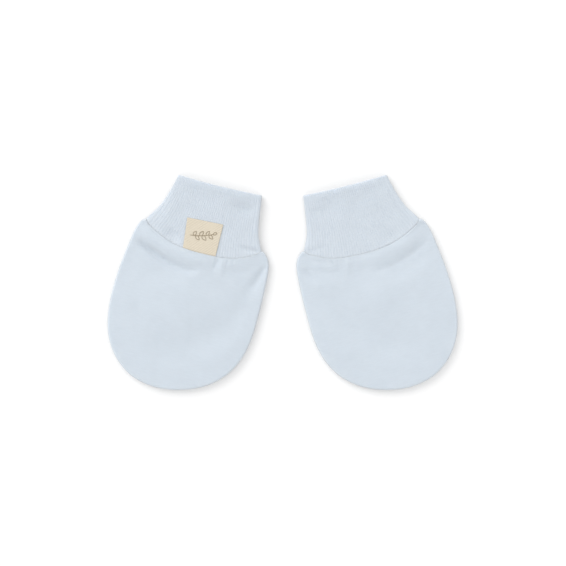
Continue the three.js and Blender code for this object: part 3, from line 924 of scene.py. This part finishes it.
def cloth_material(name, colour, group, sizes, relief, gap_painted_shade, glow, depth):
    """A matte cloth: shared weave or stitch group, fuzz, a slow change of shade, and painted shade in the
    weave's gaps and on upright edges.
    """
    material = bpy.data.materials.new(name)
    material.use_nodes = True
    tree = material.node_tree
    shader = tree.nodes["Principled BSDF"]
    shader.inputs["Roughness"].default_value = 0.9
    shader.inputs["Specular IOR Level"].default_value = 0.06
    shader.inputs["Subsurface Weight"].default_value = glow
    shader.inputs["Subsurface Radius"].default_value = (1.0, 1.0, 1.0)
    shader.inputs["Subsurface Scale"].default_value = depth
    pattern = tree.nodes.new("ShaderNodeUVMap")
    pattern.uv_map = "cloth"
    place = tree.nodes.new("ShaderNodeTexCoord")
    weave = tree.nodes.new("ShaderNodeGroup")
    weave.node_tree = group
    tree.links.new(pattern.outputs["UV"], weave.inputs["Vector"])
    for socket, value in sizes.items():
        weave.inputs[socket].default_value = value
    fuzz = tree.nodes.new("ShaderNodeGroup")
    fuzz.node_tree = shared_group("Cotton fuzz", fuzz_group)
    tree.links.new(place.outputs["Object"], fuzz.inputs["Vector"])
    tree.links.new(pattern.outputs["UV"], fuzz.inputs["Pattern"])
    painted_gap_colour = tuple(channel * GAP_PAINTED_SHADE for channel in colour) + (1.0,)
    light = tuple(channel * LIGHT_SHADE for channel in colour) + (1.0,)
    dark = tuple(channel * DARK_SHADE for channel in colour) + (1.0,)
    slow = mix_colour(tree, fuzz.outputs["Shade"], dark, light)
    # Painted shade: the gaps between stitches or threads take a darker colour
    gap = math_node(tree, "MULTIPLY", weave.outputs["Gap"], gap_painted_shade)
    # Painted shade: faces that stand upright take a darker colour, as if in the seam's shade
    painted_rim_node = tree.nodes.new("ShaderNodeGroup")
    painted_rim_node.node_tree = shared_group("Painted rim shade", painted_rim_shade_group)
    tree.links.new(place.outputs["Normal"], painted_rim_node.inputs["Normal"])
    edge = tuple(channel * share for channel, share in zip(colour, RIM_PAINTED_SHADES)) + (1.0,)
    knit = mix_colour(tree, gap, slow, painted_gap_colour)
    tree.links.new(mix_colour(tree, painted_rim_node.outputs["Shade"], knit, edge), shader.inputs["Base Color"])
    height = math_node(
        tree, "ADD", weave.outputs["Height"], math_node(tree, "MULTIPLY", fuzz.outputs["Height"], 0.5)
    )
    bump = tree.nodes.new("ShaderNodeBump")
    bump.inputs["Distance"].default_value = relief
    bump.inputs["Strength"].default_value = 1.0
    tree.links.new(height, bump.inputs["Height"])
    tree.links.new(bump.outputs["Normal"], shader.inputs["Normal"])
    return material


def body_knit_material(cloth):
    group = shared_group("Knit stitches", stitch_group)
    sizes = {"Wale": cloth.wale, "Course": cloth.course}
    return cloth_material("Body knit", tuple(cloth.colour), group, sizes, 0.08 * MM, 0.25, 0.5, 1.2 * MM)


def cuff_rib_material(cuff):
    group = shared_group("Knit stitches", stitch_group)
    sizes = {"Wale": RIB_PITCH, "Course": RIB_COURSE}
    return cloth_material("Cuff rib", tuple(cuff.colour), group, sizes, 0.12 * MM, 0.25, 0.6, 1.2 * MM)


def label_tape_material(label):
    group = shared_group("Twill weave", twill_group)
    sizes = {"Pitch": 1.5 * MM}
    return cloth_material("Label tape", tuple(label.colour), group, sizes, 0.1 * MM, 0.8, 0.1, MM)


def sprig_thread_material(label):
    group = shared_group("Twill weave", twill_group)
    sizes = {"Pitch": 0.5 * MM}
    return cloth_material("Sprig thread", tuple(label.thread_colour), group, sizes, 0.05 * MM, 0.3, 0.0, MM)


# Operators


class MITTENS_OT_stage(Operator):
    """White floor, soft light and the camera above the pair"""

    bl_idname = "mittens.stage"
    bl_label = "Stage"

    def execute(self, context):
        stage = context.scene.mitten_stage
        scene = context.scene
        scene.view_settings.view_transform = "Standard"
        self.add_floor(scene, stage)
        self.add_lights(scene, stage)
        self.add_camera(scene, stage)
        return {"FINISHED"}

    def add_floor(self, scene, stage):
        bm = bmesh.new()
        bmesh.ops.create_grid(bm, x_segments=1, y_segments=1, size=3)
        mesh = bpy.data.meshes.new("floor")
        bm.to_mesh(mesh)
        bm.free()
        material = bpy.data.materials.new("White paper")
        material.use_nodes = True
        shader = material.node_tree.nodes["Principled BSDF"]
        shader.inputs["Base Color"].default_value = (*stage.floor_colour, 1)
        shader.inputs["Roughness"].default_value = 0.9
        shader.inputs["Specular IOR Level"].default_value = 0.0
        mesh.materials.append(material)
        floor = bpy.data.objects.new("floor", mesh)
        scene.collection.objects.link(floor)

    def add_lights(self, scene, stage):
        world = bpy.data.worlds.new("Even light")
        world.use_nodes = True
        background = world.node_tree.nodes["Background"]
        background.inputs["Color"].default_value = (1, 1, 1, 1)
        background.inputs["Strength"].default_value = stage.sky
        scene.world = world
        lamp = bpy.data.lights.new("window", "SUN")
        lamp.energy = stage.key
        lamp.angle = KEY_ANGLE
        light = bpy.data.objects.new("window", lamp)
        light.rotation_euler = Vector(KEY_DIRECTION).to_track_quat("-Z", "Y").to_euler()
        scene.collection.objects.link(light)

    def add_camera(self, scene, stage):
        data = bpy.data.cameras.new("above")
        data.lens = stage.lens
        data.sensor_width = 36
        data.clip_start = 0.01
        camera = bpy.data.objects.new("above", data)
        camera.location = (*stage.frame_middle, stage.frame_width * stage.lens / data.sensor_width)
        scene.collection.objects.link(camera)
        scene.camera = camera


class MITTENS_OT_bodies(Operator):
    """Front and back panels of both mittens"""

    bl_idname = "mittens.bodies"
    bl_label = "Bodies"

    def execute(self, context):
        cloth = context.scene.mitten_cloth
        material = body_knit_material(cloth)
        for name, mirrored in (("left", False), ("right", True)):
            for face, is_front in (("back", False), ("front", True)):
                rings = cloth.rings if is_front else cloth.rings // 3
                title = f"{name}_{face}_knit"
                mesh = panel_mesh(title, cloth, is_front, mirrored, rings)
                flat, area = sheet_size(mesh, 0.5)
                piece = add_piece(title, mesh, material, f"{name}_{face}_panel")
        return {"FINISHED"}


class MITTENS_OT_cuffs(Operator):
    """Doubled rib cuffs of both mittens"""

    bl_idname = "mittens.cuffs"
    bl_label = "Cuffs"

    def execute(self, context):
        cuff = context.scene.mitten_cuff
        material = cuff_rib_material(cuff)
        for name, mirrored in (("left", False), ("right", True)):
            title = f"{name}_rib_cuff"
            mesh = cuff_mesh(title, cuff, mirrored)
            piece = add_piece(title, mesh, material, f"{name}_cuff")
        return {"FINISHED"}


class MITTENS_OT_label(Operator):
    """Woven label with its sprig, on the left cuff"""

    bl_idname = "mittens.label"
    bl_label = "Label"

    def execute(self, context):
        label = context.scene.mitten_label
        mesh = label_mesh("label_tape")
        piece = add_piece("label_tape", mesh, label_tape_material(label), "left_label")
        wall = piece.modifiers.new("Tape wall", "SOLIDIFY")
        wall.thickness = label.thickness
        wall.offset = 0
        thread = thread_mesh("label_sprig", label)
        sprig = add_piece("label_sprig", thread, sprig_thread_material(label), None)
        return {"FINISHED"}


class MITTENS_PT_sidebar(Panel):
    """Builds the mittens piece by piece"""

    bl_idname = "MITTENS_PT_sidebar"
    bl_label = "Baby Mittens"
    bl_space_type = "VIEW_3D"
    bl_region_type = "UI"
    bl_category = "Mittens"

    def draw(self, context):
        for operator in OPERATORS:
            self.layout.operator(operator.bl_idname)
        for group in SETTINGS:
            settings = getattr(context.scene, group)
            box = self.layout.box()
            for name in settings.bl_rna.properties.keys():
                if name not in ("rna_type", "name"):
                    box.prop(settings, name)


SETTINGS = {
    "mitten_cloth": MittenCloth,
    "mitten_cuff": MittenCuff,
    "mitten_label": MittenLabel,
    "mitten_stage": MittenStage,
}
OPERATORS = (MITTENS_OT_stage, MITTENS_OT_bodies, MITTENS_OT_cuffs, MITTENS_OT_label)
CLASSES = (*SETTINGS.values(), *OPERATORS, MITTENS_PT_sidebar)


def register():
    for cls in CLASSES:
        bpy.utils.register_class(cls)
    for name, group in SETTINGS.items():
        setattr(bpy.types.Scene, name, PointerProperty(type=group))


def unregister():
    for name in SETTINGS:
        delattr(bpy.types.Scene, name)
    for cls in reversed(CLASSES):
        bpy.utils.unregister_class(cls)


def main():
    register()
    bpy.ops.mittens.stage()
    bpy.ops.mittens.bodies()
    bpy.ops.mittens.cuffs()
    bpy.ops.mittens.label()


if __name__ == "__main__":
    main()
